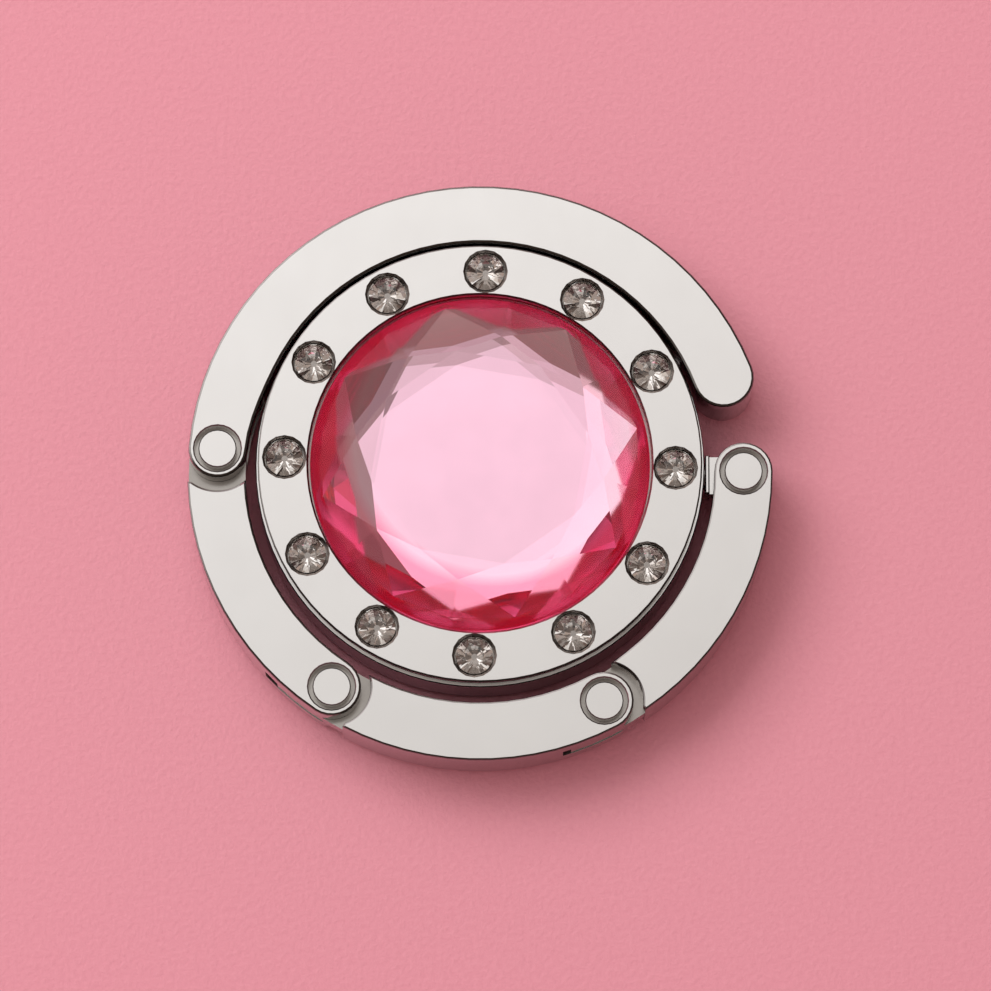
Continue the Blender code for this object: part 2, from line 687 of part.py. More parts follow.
def make_gem():
    shape = cut_stone(GEM_RADIUS, GEM_CROWN, GEM_GIRDLE, 0.0, GEM_ARC_COUNT)
    gem = piece("center_gem", shape, "pink_crystal", None, smooth=False)
    gem.location = (0.0, 0.0, GIRDLE_TOP)
    gem.rotation_euler = (0.0, 0.0, math.radians(GEM_FIRST_POINT))

    foil = post_shape(GEM_RADIUS, FOIL_BOTTOM, FOIL_TOP, UNDERSIDE_SEGMENTS)
    piece("gem_foil", foil, "silver_foil", None)


def make_stones():
    for number, angle in enumerate(stone_angles(), start=1):
        place = polar(STONE_CIRCLE, angle)
        shape = cut_stone(STONE_RADIUS, STONE_CROWN, STONE_GIRDLE, STONE_PAVILION, STONE_ARC_COUNT)
        stone = piece("rhinestone_%02d" % number, shape, "clear_crystal", None, smooth=False)
        stone.location = (place.x, place.y, STONE_GIRDLE_TOP)
        stone.rotation_euler = (0.0, 0.0, math.radians(angle))


def make_swivel(axis):
    # Eye plate, square collar and grooved journal in one piece, then the clip that holds it.
    half = EYE_WIDTH / 2
    lean = math.degrees(math.asin(min(half / EYE_TIP_RADIUS, 1.0)))
    outline = arc(EYE_TIP_RADIUS, lean - 180.0, 180.0 - lean, CAP_SEGMENTS, pin_place(0))
    outline += [Vector((COLLAR_START, half)), Vector((COLLAR_START, -half))]
    plate = prism(outline, -HALF_TONGUE, HALF_TONGUE)
    eye = piece("swivel_eye", plate, "nickel", axis)

    inset = EYE_BEVEL / 2
    collar = block((COLLAR_START - inset, -half - inset, -COLLAR_HEIGHT / 2),
                   (COLLAR_END, half + inset, COLLAR_HEIGHT / 2))
    bevel_rims(collar, (-COLLAR_HEIGHT / 2, COLLAR_HEIGHT / 2), EYE_BEVEL)
    combine(eye, tool("swivel_collar", collar, axis), "UNION")

    root = JOURNAL_RADIUS - CLIP_GROOVE
    profile = [(0.0, JOURNAL_START), (JOURNAL_RADIUS, JOURNAL_START),
               (JOURNAL_RADIUS, CLIP_START - CLIP_FIT), (root, CLIP_START - CLIP_FIT),
               (root, CLIP_END + CLIP_FIT), (JOURNAL_RADIUS, CLIP_END + CLIP_FIT),
               (JOURNAL_RADIUS, COLLAR_START + COLLAR_LENGTH / 2),
               (0.0, COLLAR_START + COLLAR_LENGTH / 2)]
    journal = along_x(lathe(profile, PIN_SEGMENTS))
    combine(eye, tool("swivel_journal", journal, axis), "UNION")

    bore = post_shape(SHAFT_RADIUS + PIN_RUN, -HALF_SLOT, HALF_SLOT, PIN_SEGMENTS)
    bore = moved(bore, pin_place(0).to_3d())
    combine(eye, tool("swivel_eye_bore", bore, axis), "DIFFERENCE")

    mouth = CLIP_MOUTH_ANGLE / 2
    outline = arc(root + CLIP_FIT, mouth, 360.0 - mouth, CAP_SEGMENTS)
    outline += arc(CLIP_OUTER, 360.0 - mouth, mouth, CAP_SEGMENTS)
    clip = along_x(prism(outline, CLIP_START, CLIP_END))
    piece("swivel_clip", clip, "dark_steel", axis)


def build():
    clear_scene()
    make_housing()
    make_underside()
    make_gem()
    make_stones()

    swivel_axis = pivot("swivel_axis", RING_CENTRE)
    make_swivel(swivel_axis)
    parent = swivel_axis
    previous = Vector((0.0, 0.0, 0.0))
    for index in range(len(PIN_ANGLES)):
        here = pin_place(index).to_3d()
        hinge = pivot("link_%d_hinge" % (index + 1), here - previous, parent)
        make_link(index, hinge)
        make_pin(index, hinge)
        parent = hinge
        previous = here


build()
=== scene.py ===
import math

import bmesh
import bpy
from mathutils import Matrix, Vector


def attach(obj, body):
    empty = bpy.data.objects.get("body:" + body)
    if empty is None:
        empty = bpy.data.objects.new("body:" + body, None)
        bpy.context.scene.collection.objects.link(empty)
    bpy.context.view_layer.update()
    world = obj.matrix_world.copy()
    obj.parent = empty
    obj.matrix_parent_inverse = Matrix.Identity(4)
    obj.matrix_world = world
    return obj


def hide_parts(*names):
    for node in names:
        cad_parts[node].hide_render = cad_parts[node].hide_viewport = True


# The dressed scene of the folding purse hook: the imported CAD parts with finished surfaces, some
# with painted highlights, shade and reflections, finely cut crystals, a plain pale floor, soft
# studio light and a camera at the photograph's angle.
# Lengths are in metres, in the part's own frame, and angles are in degrees.

MM = 0.001
FULL_TURN = 360.0
WHITE = (1.0, 1.0, 1.0)
IN_PLAN = (1.0, 1.0, 0.0)

# Camera
CAMERA_ELEVATION = 78.935
CAMERA_DISTANCE = 0.6
CAMERA_TARGET = (1.195 * MM, -2.496 * MM, 6.2 * MM)
CAMERA_CLIP = (0.01, 20.0)
VIEW_WIDTH = 76.24 * MM
SENSOR_WIDTH = 36.0
BOUNCES = 24

# Studio: the sky's colours from the horizon up, and three panels. The ceiling is what the flat
# tops mirror, and its light changes along CEILING_TURN between the two places of CEILING_SPAN.
SKY_STOPS = ((0.0, (1.0, 0.5, 0.58)), (0.24, (0.85, 0.4, 0.46)), (0.4, (0.42, 0.3, 0.29)),
             (0.66, (0.3, 0.23, 0.215)), (0.8, (0.17, 0.125, 0.105)), (0.9, (0.38, 0.29, 0.24)),
             (1.0, (0.3, 0.28, 0.265)))
SKY_STRENGTH = 1.0
CEILING_PLACE = (-0.63, 0.5, 0.8)
CEILING_SIZE = (1.54, 1.3)
CEILING_RADIANCE = 1.0
CEILING_TURN = -65.0
CEILING_SPAN = (-0.4, 0.2)
CEILING_STOPS = ((0.0, WHITE), (0.333, (0.906, 0.906, 0.906)), (0.517, (0.6, 0.59, 0.58)),
                 (0.72, (0.36, 0.33, 0.3)), (1.0, (0.16, 0.14, 0.13)))
KEY_PLACE = (-0.49, 0.41, 0.77)
KEY_SIZE = (0.6, 0.6)
KEY_RADIANCE = 3.3
FILL_PLACE = (0.0, 0.0, 0.85)
FILL_SIZE = (1.3, 1.3)
FILL_RADIANCE = 0.1
PANEL_STOPS = ((0.0, (1.0, 0.995, 0.985)), (1.0, (1.0, 0.995, 0.985)))

FLOOR_HALF = 1.5
FLOOR_COLOURS = ((0.86, 0.36, 0.44), (0.9, 0.39, 0.47))
FLOOR_ROUGH = 0.8

# Patterns of noise: scale, detail and roughness, and how some are stretched and turned. The turn
# is in radians, as its node has it.
NICKEL_PATCHES = (180.0, 4.0, 0.55)
METAL_SMEARS = (420.0, 5.0, 0.6)
SMEAR_STRETCH = (1.0, 0.45, 1.0)
SMEAR_TURN = (0.0, 0.0, 0.6)
WALL_SMEARS = (380.0, 5.0, 0.6)
WALL_STRETCH = (1.0, 1.0, 0.3)
METAL_GRAIN = (2600.0, 2.0, 0.5)
RUBBER_PATCHES = (300.0, 5.0, 0.6)
RUBBER_GRAIN = (5200.0, 3.0, 0.6)
FOIL_PATCHES = (240.0, 3.0, 0.5)
CRYSTAL_WEAR = (900.0, 6.0, 0.7)
FLOOR_GRAIN = (2200.0, 4.0, 0.6)

# The part of a noise's range that is spread over a roughness, and those over two colours
NOISE_RANGE = (0.35, 0.65)
PATCH_PLACES = (0.3, 0.7)
FOIL_PLACES = (0.35, 0.65)

# Bumps: strength and height
METAL_BUMP = (0.05, 0.01 * MM)
RUBBER_BUMP = (0.35, 0.05 * MM)
FLOOR_BUMP = (0.6, 0.14 * MM)

# A finish's roughness varies between these two shares of it
METAL_WEAR = (0.8, 1.25)
WALL_WEAR = (0.75, 1.3)
FOIL_WEAR = (0.7, 1.3)
SURFACE_WEAR = (0.4, 1.6)

# Metal finishes: dark and light colour, and roughness. The edge's dark and light are painted shade
# and a painted highlight, and the recess's colours are painted shade.
NICKEL_FINISH = ((0.69, 0.68, 0.672), (0.715, 0.705, 0.697), 0.11)
EDGE_SHADE_AND_HIGHLIGHT = ((0.11, 0.098, 0.09), (0.62, 0.6, 0.59), 0.2)
RECESS_PAINTED_SHADE = ((0.34, 0.32, 0.3), (0.42, 0.4, 0.38), 0.2)
PLATING_FINISH = ((0.55, 0.55, 0.57), (0.62, 0.62, 0.64), 0.2)
SPRING_FINISH = ((0.36, 0.36, 0.37), (0.42, 0.42, 0.43), 0.28)

# Bevels get a painted highlight the more they face the direction of the turn below, and painted
# shade elsewhere: their normals' length along it is the first of the span below or less where they
# are dark, and the second or more where pale
EDGE_HIGHLIGHT_TURN = 125.0
EDGE_HIGHLIGHT_SPAN = (0.0, 0.6)

# Walls carry painted light. Those beside the gem are pink, a painted reflection of the gem, those
# in the gap dark, painted shade, and those outside or near the top pale, a lighter painted shade.
# The first four are distances from the disc's axis where the colour changes; beyond the disc it
# also changes between the two heights.
SEAT_WALL = 13.4 * MM
BORE_WALL = 13.7 * MM
GAP_WALL = 18.6 * MM
OUTER_WALL = 20.2 * MM
DISC_SPAN = (17.0 * MM, 17.1 * MM)
WALL_HEIGHTS = (4.8 * MM, 5.9 * MM)
WALL_SEAT_PAINTED_REFLECTION = (0.85, 0.45, 0.55)
WALL_GAP_PAINTED_SHADE = (0.15, 0.125, 0.12)
WALL_OUTER_PAINTED_SHADE = (0.5, 0.485, 0.475)
WALL_ROUGH = 0.12

RUBBER_COLOURS = ((0.018, 0.018, 0.019), (0.04, 0.039, 0.038))
RUBBER_ROUGH = (0.62, 0.85)

# The gem's foil turns a deeper pink beyond these two distances from this place, a painted
# reflection that deepens the gem's rim to crimson
FOIL_PLACE = (1.0 * MM, 2.0 * MM, 0.0)
FOIL_EDGE = (10.0 * MM, 11.0 * MM)
FOIL_COLOUR = (0.97, 0.85, 0.90)
FOIL_EDGE_PAINTED_REFLECTION = (1.0, 0.44, 0.57)
FOIL_SHADE = 0.96
FOIL_ROUGH = 0.02
# The stones' foil, and the painted shade on the dark facets of their backs
STONE_FOIL_COLOUR = (0.98, 0.97, 0.96)
STONE_SHADE_COLOUR = (0.3, 0.27, 0.25)
STONE_SHADE_ROUGH = 0.03

# Crystal. The gem absorbs light, and its facets that lean more than the kites do are tinted
# deeper, a painted reflection, and less clear: their normals' z lies below the two values of
# RIM_LEAN.
GEM_IOR = 1.52
GEM_ROUGH = 0.006
GEM_ABSORPTION = (0.95, 0.035, 0.52)
GEM_DENSITY = 48.0
RIM_LEAN = (0.82, 0.85)
RIM_PAINTED_REFLECTION = (1.0, 0.9, 0.86)
RIM_ROUGH = 0.2
STONE_IOR = 1.55
STONE_ROUGH = 0.01

# The gem's cut, on the CAD part's seat: the facets end on a circle inside its edge, and a rounded
# shoulder leads down to the edge. Shoulders are rings of radius and height, and the circle where
# the facets end has height zero. Between two folds the edge has as many steps as ARCS says.
CUT_FOLDS = 8
GEM_TABLE = 8.515 * MM
GEM_STAR = 9.65 * MM
GEM_FACETS = 12.38 * MM
GEM_CROWN = 2.19 * MM
GEM_HEIGHT = 6.66 * MM
GEM_SHOULDER = ((12.56 * MM, -0.33 * MM), (12.8 * MM, -0.53 * MM), (12.98 * MM, -0.75 * MM),
                (13.1 * MM, -1.0 * MM), (13.1 * MM, -1.81 * MM))
GEM_FIRST_POINT = 12.5
GEM_ARCS = 16

# The small stones' cut, in the CAD part's bores: like the gem's, with a pointed back
STONE_COUNT = 12
STONE_CIRCLE = 15.06 * MM
STONE_FIRST_ANGLE = 88.4
STONE_TABLE = 0.75 * MM
STONE_STAR = 1.02 * MM
STONE_FACETS = 1.42 * MM
STONE_CROWN = 0.43 * MM
STONE_HEIGHT = 6.56 * MM
STONE_SHOULDER = ((1.45 * MM, -0.03 * MM), (1.45 * MM, -0.13 * MM))
STONE_CULET = 0.24 * MM
STONE_DEPTH = 0.94 * MM
STONE_ARCS = 4

# A crystal's second and third material: its foiled back, and the back's facets that carry painted
# shade, which are every third one. The first is its surface.
MIRROR, SHADE = 1, 2
SHADE_EVERY = 3

# A metal node's materials: a flat face, a bevel on an upper edge with painted highlight and shade,
# a wall with painted shade and reflection, and a flat face below the top with painted shade. Their
# normals' z decides, and how far below the node's top a flat face lies. The only such node that
# reaches above HOUSING_TOP is the housing, and its ledge beyond LEDGE_RADIUS counts as flat.
FLAT, BEVEL, WALL, SUNKEN = range(4)
FLAT_LIMIT = 0.9995
WALL_LIMIT = 0.3
RECESS_DEPTH = 0.15 * MM
LEDGE_RADIUS = 17.0 * MM
HOUSING_TOP = 6.5 * MM

# Faces that meet at less than this shade as one, after points this close have been joined
SHARP_ANGLE = 32.0
WELD = 0.0005 * MM

METAL_PIECES = (("housing", "disc"), ("link_1", "link_1"), ("link_2", "link_2"),
                ("link_3", "link_3"), ("link_4", "link_4"), ("pin_1", "link_1"),
                ("pin_2", "link_2"), ("pin_3", "link_3"), ("pin_4", "link_4"))


def polar(radius, angle, height=0.0):
    turn = math.radians(angle)
    return Vector((radius * math.cos(turn), radius * math.sin(turn), height))


def new_item(name, data):
    item = bpy.data.objects.new(name, data)
    bpy.context.scene.collection.objects.link(item)
    return item


# ---------------------------------------------------------------- nodes

def feed(tree, node, values):
    # Gives a node's inputs, in order, their values: an output is linked and anything else is set
    for entry, value in zip(node.inputs, values):
        if isinstance(value, bpy.types.NodeSocket):
            tree.links.new(value, entry)
        else:
            entry.default_value = value


def maths(tree, operation, *values):
    node = tree.nodes.new("ShaderNodeMath")
    node.operation = operation
    feed(tree, node, values)
    return node.outputs["Value"]


def vector_maths(tree, operation, *values):
    node = tree.nodes.new("ShaderNodeVectorMath")
    node.operation = operation
    feed(tree, node, values)
    return node.outputs["Value" if operation in ("DOT_PRODUCT", "LENGTH") else "Vector"]


def coordinates(tree, kind):
    return tree.nodes.new("ShaderNodeTexCoord").outputs[kind]


def geometry(tree, kind):
    return tree.nodes.new("ShaderNodeNewGeometry").outputs[kind]


def height_of(tree, vector):
    node = tree.nodes.new("ShaderNodeSeparateXYZ")
    tree.links.new(vector, node.inputs["Vector"])
    return node.outputs["Z"]


def plan_distance(tree, centre=(0.0, 0.0, 0.0)):
    # How far the surface lies from a place, seen from above
    away = vector_maths(tree, "SUBTRACT", coordinates(tree, "Object"), centre)
    return vector_maths(tree, "LENGTH", vector_maths(tree, "MULTIPLY", away, IN_PLAN))


def noise(tree, pattern, stretch=(1.0, 1.0, 1.0), turn=(0.0, 0.0, 0.0)):
    mapping = tree.nodes.new("ShaderNodeMapping")
    mapping.inputs["Scale"].default_value = stretch
    mapping.inputs["Rotation"].default_value = turn
    texture = tree.nodes.new("ShaderNodeTexNoise")
    scale, detail, roughness = pattern
    set_inputs(texture, Scale=scale, Detail=detail, Roughness=roughness)
    tree.links.new(coordinates(tree, "Object"), mapping.inputs["Vector"])
    tree.links.new(mapping.outputs["Vector"], texture.inputs["Vector"])
    return texture.outputs["Fac"]


def spread(tree, value, source, target=(0.0, 1.0)):
    node = tree.nodes.new("ShaderNodeMapRange")
    node.inputs["From Min"].default_value, node.inputs["From Max"].default_value = source
    node.inputs["To Min"].default_value, node.inputs["To Max"].default_value = target
    tree.links.new(value, node.inputs["Value"])
    return node.outputs["Result"]


def colour_ramp(tree, value, stops):
    node = tree.nodes.new("ShaderNodeValToRGB")
    ramp = node.color_ramp
    while len(ramp.elements) < len(stops):
        ramp.elements.new(0.5)
    for element, (place, colour) in zip(ramp.elements, stops):
        element.position = place
        element.color = (*colour, 1.0)
    tree.links.new(value, node.inputs["Fac"])
    return node.outputs["Color"]


def mixed(tree, share, colour, other):
    node = tree.nodes.new("ShaderNodeMixRGB")
    feed(tree, node, (share, colour, (*other, 1.0)))
    return node.outputs["Color"]


def worn(tree, value, rough, wear):
    # A finish's roughness, varied by a noise
    low, high = wear
    return spread(tree, value, NOISE_RANGE, (rough * low, rough * high))


def bump(tree, shader, grain, depth):
    node = tree.nodes.new("ShaderNodeBump")
    node.inputs["Strength"].default_value, node.inputs["Distance"].default_value = depth
    tree.links.new(grain, node.inputs["Height"])
    tree.links.new(node.outputs["Normal"], shader.inputs["Normal"])


# ---------------------------------------------------------------- materials

def set_inputs(node, **values):
    for name, value in values.items():
        node.inputs[name.replace("_", " ")].default_value = value


def new_material(name):
    material = bpy.data.materials.new(name)
    material.use_nodes = True
    tree = material.node_tree
    return material, tree, tree.nodes["Principled BSDF"]


def new_metal(name):
    material, tree, shader = new_material(name)
    set_inputs(shader, Metallic=1.0)
    return material, tree, shader


def nickel_material(name, dark, light, rough):
    material, tree, shader = new_metal(name)
    stops = tuple(zip(PATCH_PLACES, (dark, light)))
    colour = colour_ramp(tree, noise(tree, NICKEL_PATCHES), stops)
    smears = noise(tree, METAL_SMEARS, SMEAR_STRETCH, SMEAR_TURN)
    tree.links.new(colour, shader.inputs["Base Color"])
    tree.links.new(worn(tree, smears, rough, METAL_WEAR), shader.inputs["Roughness"])
    bump(tree, shader, noise(tree, METAL_GRAIN), METAL_BUMP)
    return material


def painted_edge_light_material(name, dark, light, rough):
    material, tree, shader = new_metal(name)
    normal = coordinates(tree, "Normal")
    # Painted highlight on bevels facing the turn, painted shade on those facing away
    facing = vector_maths(tree, "DOT_PRODUCT", normal, polar(1.0, EDGE_HIGHLIGHT_TURN))
    colour = colour_ramp(tree, spread(tree, facing, EDGE_HIGHLIGHT_SPAN), ((0.0, dark), (1.0, light)))
    smears = noise(tree, METAL_SMEARS)
    tree.links.new(colour, shader.inputs["Base Color"])
    tree.links.new(worn(tree, smears, rough, METAL_WEAR), shader.inputs["Roughness"])
    return material


def wall_painted_light_material(name):
    material, tree, shader = new_metal(name)
    # Painted reflection of the gem's pink beside the seat, painted shade in the gap and outside
    distance = plan_distance(tree)
    reach = OUTER_WALL - SEAT_WALL
    around = colour_ramp(tree, spread(tree, distance, (SEAT_WALL, OUTER_WALL)),
                         ((0.0, WALL_SEAT_PAINTED_REFLECTION),
                          ((BORE_WALL - SEAT_WALL) / reach, WALL_GAP_PAINTED_SHADE),
                          ((GAP_WALL - SEAT_WALL) / reach, WALL_GAP_PAINTED_SHADE),
                          (1.0, WALL_OUTER_PAINTED_SHADE)))
    high = spread(tree, height_of(tree, coordinates(tree, "Object")), WALL_HEIGHTS)
    upper = maths(tree, "MULTIPLY", high, spread(tree, distance, DISC_SPAN))
    smears = noise(tree, WALL_SMEARS, WALL_STRETCH)
    tree.links.new(mixed(tree, upper, around, WALL_OUTER_PAINTED_SHADE), shader.inputs["Base Color"])
    tree.links.new(worn(tree, smears, WALL_ROUGH, WALL_WEAR), shader.inputs["Roughness"])
    bump(tree, shader, noise(tree, METAL_GRAIN), METAL_BUMP)
    return material


def rubber_material(name):
    material, tree, shader = new_material(name)
    patches = noise(tree, RUBBER_PATCHES)
    colour = colour_ramp(tree, patches, tuple(zip(PATCH_PLACES, RUBBER_COLOURS)))
    tree.links.new(colour, shader.inputs["Base Color"])
    tree.links.new(spread(tree, patches, NOISE_RANGE, RUBBER_ROUGH), shader.inputs["Roughness"])
    bump(tree, shader, noise(tree, RUBBER_GRAIN), RUBBER_BUMP)
    return material


def foil_material(name, colour, rough, edge_reflection=None):
    material, tree, shader = new_metal(name)
    patches = noise(tree, FOIL_PATCHES)
    shade = tuple(FOIL_SHADE * channel for channel in colour)
    reflected = colour_ramp(tree, patches, tuple(zip(FOIL_PLACES, (shade, colour))))
    # The deeper pink towards the foil's edge is a painted reflection
    if edge_reflection is not None:
        share = spread(tree, plan_distance(tree, FOIL_PLACE), FOIL_EDGE)
        reflected = mixed(tree, share, reflected, edge_reflection)
    tree.links.new(reflected, shader.inputs["Base Color"])
    tree.links.new(worn(tree, patches, rough, FOIL_WEAR), shader.inputs["Roughness"])
    return material


def crystal_material(name, ior, rough, absorbing_with_painted_rim=False):
    material, tree, shader = new_material(name)
    set_inputs(shader, IOR=ior, Transmission_Weight=1.0, Base_Color=(*WHITE, 1.0))
    surface = worn(tree, noise(tree, CRYSTAL_WEAR), rough, SURFACE_WEAR)
    if absorbing_with_painted_rim:
        # The leaning rim facets get a deeper tint, a painted reflection, and a rougher surface
        lean = maths(tree, "ABSOLUTE", height_of(tree, geometry(tree, "True Normal")))
        leaning = spread(tree, lean, RIM_LEAN, (1.0, 0.0))
        colour = colour_ramp(tree, leaning, ((0.0, WHITE), (1.0, RIM_PAINTED_REFLECTION)))
        tree.links.new(colour, shader.inputs["Base Color"])
        surface = maths(tree, "MULTIPLY_ADD", leaning, RIM_ROUGH, surface)
        volume = tree.nodes.new("ShaderNodeVolumeAbsorption")
        set_inputs(volume, Color=(*GEM_ABSORPTION, 1.0), Density=GEM_DENSITY)
        output = tree.nodes["Material Output"]
        tree.links.new(volume.outputs["Volume"], output.inputs["Volume"])
    tree.links.new(surface, shader.inputs["Roughness"])
    return material


# ---------------------------------------------------------------- pieces

def add_piece(name, shape, materials, body, node):
    # Makes the shape a piece that moves with a body and takes the place of a CAD node
    mesh = bpy.data.meshes.new(name)
    shape.to_mesh(mesh)
    shape.free()
    for material in materials:
        mesh.materials.append(material)
    item = new_item(name, mesh)
    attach(item, body)
    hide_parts(node)
    return item


def face_kind(face, top, recessed):
    lean = face.normal.z
    if lean < -WALL_LIMIT:
        return FLAT
    if lean <= WALL_LIMIT:
        return WALL
    if lean < FLAT_LIMIT:
        return BEVEL
    centre = face.calc_center_median()
    on_ledge = math.hypot(centre.x, centre.y) > LEDGE_RADIUS and top > HOUSING_TOP
    # A flat face sunk below the top takes the recess material, which is painted shade
    return SUNKEN if recessed and top - centre.z > RECESS_DEPTH and not on_ledge else FLAT


def refined(node, body, materials, recessed=False):
    # A copy of a CAD node with its faces joined up, so that curved walls shade smoothly while
    # flat faces stay flat. With several materials, each face gets the one of its kind.
    shape = bmesh.new()
    shape.from_mesh(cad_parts[node].data)
    bmesh.ops.remove_doubles(shape, verts=shape.verts, dist=WELD)
    shape.normal_update()
    limit = math.radians(SHARP_ANGLE)
    for edge in shape.edges:
        angle = edge.calc_face_angle(0.0)
        flat = [abs(face.normal.z) > FLAT_LIMIT for face in edge.link_faces]
        edge.smooth = angle < limit and (all(flat) or not any(flat))
    top = max(vertex.co.z for vertex in shape.verts)
    for face in shape.faces:
        face.smooth = True
        if len(materials) > 1:
            face.material_index = face_kind(face, top, recessed)
    item = add_piece(node + "_finished", shape, materials, body, node)
    even = item.modifiers.new("even_shading", "WEIGHTED_NORMAL")
    even.keep_sharp = True


def dressed(node, material):
    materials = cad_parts[node].data.materials
    materials.clear()
    materials.append(material)


def cut_stone(table_radius, star_radius, facet_radius, crown, shoulder, arcs, culet=0.0, depth=0.0):
    # A round cut with a flat table, star and kite facets, girdle facets and a smooth shoulder. The
    # back is flat, or has bright pavilion facets and others with painted shade around a small culet
    # with painted shade.
    shape = bmesh.new()
    turn = FULL_TURN / CUT_FOLDS
    star_inset = facet_radius - star_radius * math.cos(math.radians(turn / 2))
    star_height = crown * star_inset / (facet_radius - table_radius)

    def ring(radius, height, count, first=0.0):
        return [shape.verts.new(polar(radius, first + FULL_TURN * i / count, height))
                for i in range(count)]

    table = ring(table_radius, crown, CUT_FOLDS)
    star = ring(star_radius, star_height, CUT_FOLDS, turn / 2)
    half = arcs // 2
    rim = []
    for j in range(CUT_FOLDS * arcs):
        corner = j // half * turn / 2
        start, end = polar(facet_radius, corner), polar(facet_radius, corner + turn / 2)
        rim.append(shape.verts.new(start.lerp(end, j % half / half)))
    shape.faces.new(table)
    for i in range(CUT_FOLDS):
        shape.faces.new((table[i], star[i], table[(i + 1) % CUT_FOLDS]))
        shape.faces.new((table[i], star[i - 1], rim[i * arcs], star[i]))
        for first in (i * arcs, i * arcs + half):
            edge_points = [rim[j % len(rim)] for j in range(first, first + half + 1)]
            shape.faces.new([star[i]] + edge_points)
    # The edge's straight wall is foiled, and the shoulder above it is clear
    back = []
    upper = rim
    for radius, height in shoulder:
        lower = ring(radius, height, CUT_FOLDS * arcs)
        for j in range(len(rim)):
            k = (j + 1) % len(rim)
            face = shape.faces.new((upper[j], lower[j], lower[k], upper[k]))
            face.smooth = True
            if (radius, height) == shoulder[-1]:
                back.append(face)
        upper = lower
    dark = []
    if depth > 0.0:
        tip = ring(culet, shoulder[-1][1] - depth, CUT_FOLDS * 2)
        dark.append(shape.faces.new(list(reversed(tip))))
        for i in range(len(tip)):
            corners = [upper[j % len(upper)] for j in range(i * half, (i + 1) * half + 1)]
            face = shape.faces.new(list(reversed(corners)) + [tip[i], tip[(i + 1) % len(tip)]])
            (dark if i % SHADE_EVERY == 0 else back).append(face)
    else:
        shape.faces.new(list(reversed(upper)))
    for kind, faces in ((MIRROR, back), (SHADE, dark)):
        for face in faces:
            face.material_index = kind
    limit = math.radians(SHARP_ANGLE)
    for edge in shape.edges:
        round_faces = all(face.smooth for face in edge.link_faces)
        edge.smooth = edge.calc_face_angle(0.0) < limit and round_faces
    return shape


def crystal(name, shape, materials, body, node, place, turn):
    # Turns a cut stone, moves it to its seat and makes it a piece
    bmesh.ops.recalc_face_normals(shape, faces=shape.faces)
    turned = Matrix.Rotation(math.radians(turn), 3, "Z")
    bmesh.ops.rotate(shape, verts=shape.verts, matrix=turned)
    bmesh.ops.translate(shape, verts=shape.verts, vec=place)
    add_piece(name, shape, materials, body, node)


# ---------------------------------------------------------------- studio

def make_camera():
    camera = bpy.data.cameras.new("camera")
    camera.sensor_width = SENSOR_WIDTH
    camera.lens = SENSOR_WIDTH * CAMERA_DISTANCE / VIEW_WIDTH
    camera.clip_start, camera.clip_end = CAMERA_CLIP
    item = new_item("camera", camera)
    lean = math.radians(CAMERA_ELEVATION)
    back = Vector((0.0, -math.cos(lean), math.sin(lean)))
    item.location = Vector(CAMERA_TARGET) + back * CAMERA_DISTANCE
    item.rotation_euler = (-back).to_track_quat("-Z", "Y").to_euler()
    bpy.context.scene.camera = item


def make_floor():
    shape = bmesh.new()
    shape.faces.new([shape.verts.new((x * FLOOR_HALF, y * FLOOR_HALF, 0.0))
                     for x, y in ((-1, -1), (1, -1), (1, 1), (-1, 1))])
    mesh = bpy.data.meshes.new("floor")
    shape.to_mesh(mesh)
    shape.free()
    material, tree, shader = new_material("floor")
    set_inputs(shader, Roughness=FLOOR_ROUGH)
    grain = noise(tree, FLOOR_GRAIN)
    colour = colour_ramp(tree, grain, tuple(zip(PATCH_PLACES, FLOOR_COLOURS)))
    tree.links.new(colour, shader.inputs["Base Color"])
    bump(tree, shader, grain, FLOOR_BUMP)
    mesh.materials.append(material)
    item = new_item("floor", mesh)


def softbox(name, place, size, radiance, stops, turn=0.0, span=(-1.0, 1.0)):
    # A panel that faces down. Its colour changes along the direction turn, between the two places
    # of span, as the stops say.
    width, depth = size
    light = bpy.data.lights.new(name, "AREA")
    light.shape = "RECTANGLE"
    light.size, light.size_y = width, depth
    light.energy = math.pi * width * depth * radiance
    light.use_nodes = True
    tree = light.node_tree
    along = vector_maths(tree, "DOT_PRODUCT", geometry(tree, "Position"), polar(1.0, turn))
    colour = colour_ramp(tree, spread(tree, along, span), stops)
    tree.links.new(colour, tree.nodes["Emission"].inputs["Color"])
    item = new_item(name, light)
    item.location = place
    return item


def make_light():
    world = bpy.data.worlds.new("studio")
    bpy.context.scene.world = world
    world.use_nodes = True
    tree = world.node_tree
    background = tree.nodes["Background"]
    sky = colour_ramp(tree, height_of(tree, coordinates(tree, "Generated")), SKY_STOPS)
    tree.links.new(sky, background.inputs["Color"])
    set_inputs(background, Strength=SKY_STRENGTH)
    # A broad ceiling that eases off over the object. A brighter panel to the upper left and a
    # weak one above light only rough surfaces.
    softbox("ceiling", CEILING_PLACE, CEILING_SIZE, CEILING_RADIANCE, CEILING_STOPS,
            CEILING_TURN, CEILING_SPAN)
    key = softbox("key", KEY_PLACE, KEY_SIZE, KEY_RADIANCE, PANEL_STOPS)
    key.rotation_euler = key.location.to_track_quat("Z", "Y").to_euler()
    fill = softbox("fill", FILL_PLACE, FILL_SIZE, FILL_RADIANCE, PANEL_STOPS)
    for panel in (key, fill):
        panel.visible_glossy = False
        panel.visible_transmission = False


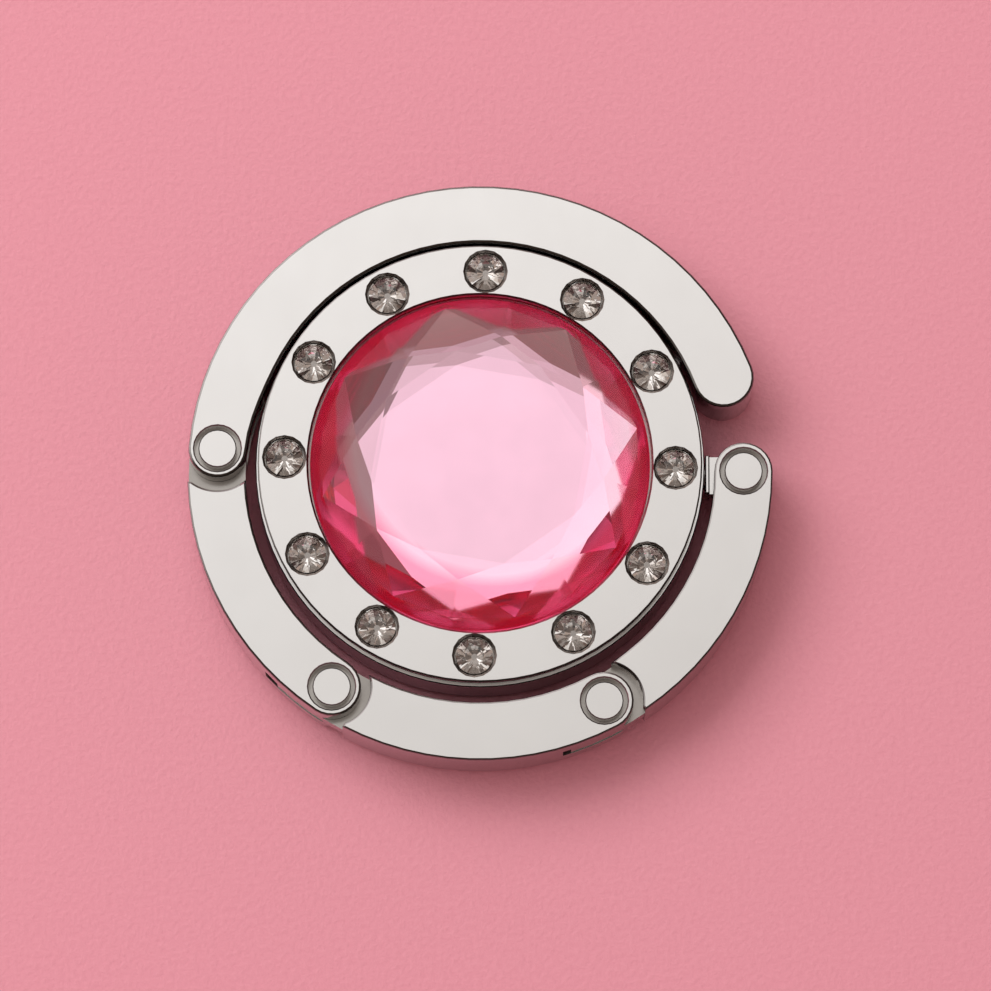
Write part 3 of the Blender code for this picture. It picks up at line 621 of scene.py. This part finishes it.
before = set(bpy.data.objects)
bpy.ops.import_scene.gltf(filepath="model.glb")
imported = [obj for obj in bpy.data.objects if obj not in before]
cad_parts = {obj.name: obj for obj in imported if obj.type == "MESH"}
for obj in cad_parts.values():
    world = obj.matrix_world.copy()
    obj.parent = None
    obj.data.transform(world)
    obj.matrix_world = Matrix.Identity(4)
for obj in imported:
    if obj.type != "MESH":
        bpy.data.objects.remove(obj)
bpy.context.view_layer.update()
bpy.context.scene.view_settings.view_transform = "Standard"
bpy.context.scene.cycles.max_bounces = BOUNCES
bpy.context.scene.cycles.glossy_bounces = BOUNCES
bpy.context.scene.cycles.transmission_bounces = BOUNCES

make_camera()
make_floor()
make_light()

# The edge, recess and wall materials carry painted highlights, shade and reflections
nickel = nickel_material("polished_nickel", *NICKEL_FINISH)
bevel = painted_edge_light_material("nickel_edge_painted_light", *EDGE_SHADE_AND_HIGHLIGHT)
recess = nickel_material("nickel_recess_painted_shade", *RECESS_PAINTED_SHADE)
wall = wall_painted_light_material("nickel_wall_painted_light")
magnet = nickel_material("magnet_plating", *PLATING_FINISH)
steel = nickel_material("spring_steel", *SPRING_FINISH)
rubber = rubber_material("rubber")
foil = foil_material("gem_foil", FOIL_COLOUR, FOIL_ROUGH, FOIL_EDGE_PAINTED_REFLECTION)
stone_foil = foil_material("stone_foil", STONE_FOIL_COLOUR, FOIL_ROUGH)
stone_shade = foil_material("stone_shade", STONE_SHADE_COLOUR, STONE_SHADE_ROUGH)
pink = crystal_material("pink_crystal", GEM_IOR, GEM_ROUGH, absorbing_with_painted_rim=True)
clear = crystal_material("clear_crystal", STONE_IOR, STONE_ROUGH)

metal = [nickel, bevel, wall, recess]
for node, body in METAL_PIECES:
    refined(node, body, metal, recessed=True)
refined("swivel_eye", "swivel", metal)
refined("base_plate", "disc", [nickel])
refined("rubber_pad", "disc", [rubber])
refined("swivel_clip", "swivel", [steel])
refined("body_magnet", "disc", [magnet])
refined("tip_magnet", "link_4", [magnet])
dressed("gem_foil", foil)

gem = cut_stone(GEM_TABLE, GEM_STAR, GEM_FACETS, GEM_CROWN, GEM_SHOULDER, GEM_ARCS)
crystal("gem_cut", gem, [pink, foil], "disc", "center_gem",
        (0.0, 0.0, GEM_HEIGHT), GEM_FIRST_POINT)

for i in range(STONE_COUNT):
    angle = STONE_FIRST_ANGLE + FULL_TURN * i / STONE_COUNT
    stone = cut_stone(STONE_TABLE, STONE_STAR, STONE_FACETS, STONE_CROWN, STONE_SHOULDER,
                      STONE_ARCS, STONE_CULET, STONE_DEPTH)
    crystal("stone_cut_%02d" % (i + 1), stone, [clear, stone_foil, stone_shade], "disc",
            "rhinestone_%02d" % (i + 1), polar(STONE_CIRCLE, angle, STONE_HEIGHT),
            angle)
